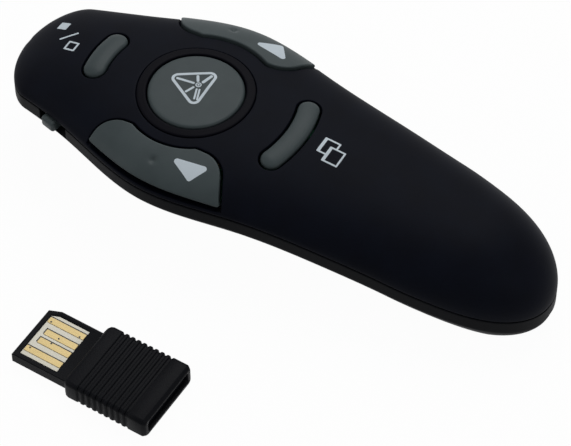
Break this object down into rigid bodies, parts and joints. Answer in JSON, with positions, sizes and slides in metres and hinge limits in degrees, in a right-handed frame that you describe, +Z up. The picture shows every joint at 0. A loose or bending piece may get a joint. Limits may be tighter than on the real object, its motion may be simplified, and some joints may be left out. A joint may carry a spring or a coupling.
{
  "type": "wireless presentation clicker",
  "caption": "Hand-held presentation remote with a laser button, slide-change buttons, a power slider, a battery door and a plug-in USB receiver beside it.",
  "frame": {"origin": "middle of the body's length and width, on the face it rests on", "axes": "+X to the laser end, +Y to the side with the power slider, +Z up through the buttons"},
  "size_m": [0.1062, 0.0759, 0.0211],
  "materials": {
    "cover_plastic": "soft-touch coat",
    "ring_plastic": "satin",
    "button_rubber": "satin",
    "switch_plastic": "matt",
    "plunger_plastic": "matt",
    "circuit_board": "solder mask",
    "chip_resin": "matt",
    "steel": "bright",
    "copper_trace": "bright",
    "capacitor_body": "satin",
    "brass": "turned",
    "lens_glass": "polished",
    "window_glass": "polished",
    "cell_can": "printed sleeve",
    "receiver_plastic": "satin",
    "pale_board": "satin",
    "gold": "plated"
  },
  "bodies": {
    "clicker": {"top_cover": "cover_plastic", "bottom_cover": "cover_plastic", "case_screws": "steel", "laser_ring": "ring_plastic", "laser_switch": "switch_plastic", "start_switch": "switch_plastic", "window_switch": "switch_plastic", "page_up_switch": "switch_plastic", "page_down_switch": "switch_plastic", "main_board": "circuit_board", "control_chip": "chip_resin", "radio_chip": "chip_resin", "crystal": "steel", "antenna": "copper_trace", "chip_capacitors": "capacitor_body", "power_switch": "steel", "laser_barrel": "brass", "laser_diode": "steel", "laser_lens": "lens_glass", "laser_window": "window_glass", "left_cell": "cell_can", "right_cell": "cell_can", "left_spring": "steel", "right_spring": "steel", "front_contacts": "steel", "rear_contact": "steel"},
    "laser_button": {"laser_button": "button_rubber", "laser_plunger": "plunger_plastic"},
    "start_button": {"start_button": "button_rubber", "start_plunger": "plunger_plastic"},
    "window_button": {"window_button": "button_rubber", "window_plunger": "plunger_plastic"},
    "page_up_button": {"page_up_button": "button_rubber", "page_up_plunger": "plunger_plastic"},
    "page_down_button": {"page_down_button": "button_rubber", "page_down_plunger": "plunger_plastic"},
    "power_slider": {"power_knob": "button_rubber", "power_stem": "switch_plastic"},
    "battery_door": {"battery_door": "cover_plastic"},
    "receiver": {"receiver_cap": "receiver_plastic", "receiver_tray": "receiver_plastic", "receiver_board": "pale_board", "receiver_contacts": "gold", "receiver_chip": "chip_resin"}
  },
  "joints": [
    {"name": "laser_button_press", "type": "slide", "parent": "clicker", "child": "laser_button", "axis": [0, 0, -1], "range_m": [0, 0.0004], "stiffness_N_per_m": 2500},
    {"name": "start_button_press", "type": "slide", "parent": "clicker", "child": "start_button", "axis": [0, 0, -1], "range_m": [0, 0.0004], "stiffness_N_per_m": 2500},
    {"name": "window_button_press", "type": "slide", "parent": "clicker", "child": "window_button", "axis": [0, 0, -1], "range_m": [0, 0.0004], "stiffness_N_per_m": 2500},
    {"name": "page_up_button_press", "type": "slide", "parent": "clicker", "child": "page_up_button", "axis": [0, 0, -1], "range_m": [0, 0.0004], "stiffness_N_per_m": 2500},
    {"name": "page_down_button_press", "type": "slide", "parent": "clicker", "child": "page_down_button", "axis": [0, 0, -1], "range_m": [0, 0.0004], "stiffness_N_per_m": 2500},
    {"name": "power_slide", "type": "slide", "parent": "clicker", "child": "power_slider", "axis": [0.9659, -0.2588, 0], "range_m": [-0.002, 0]},
    {"name": "battery_door_hinge", "type": "hinge", "parent": "clicker", "child": "battery_door", "pos_m": [0.00865, 0, 0], "axis": [0, -1, 0], "range_deg": [0, 60]},
    {"name": "receiver_lift", "type": "slide", "parent": "clicker", "child": "receiver", "axis": [0, 0, 1], "range_m": [0, 0.06]}
  ]
}
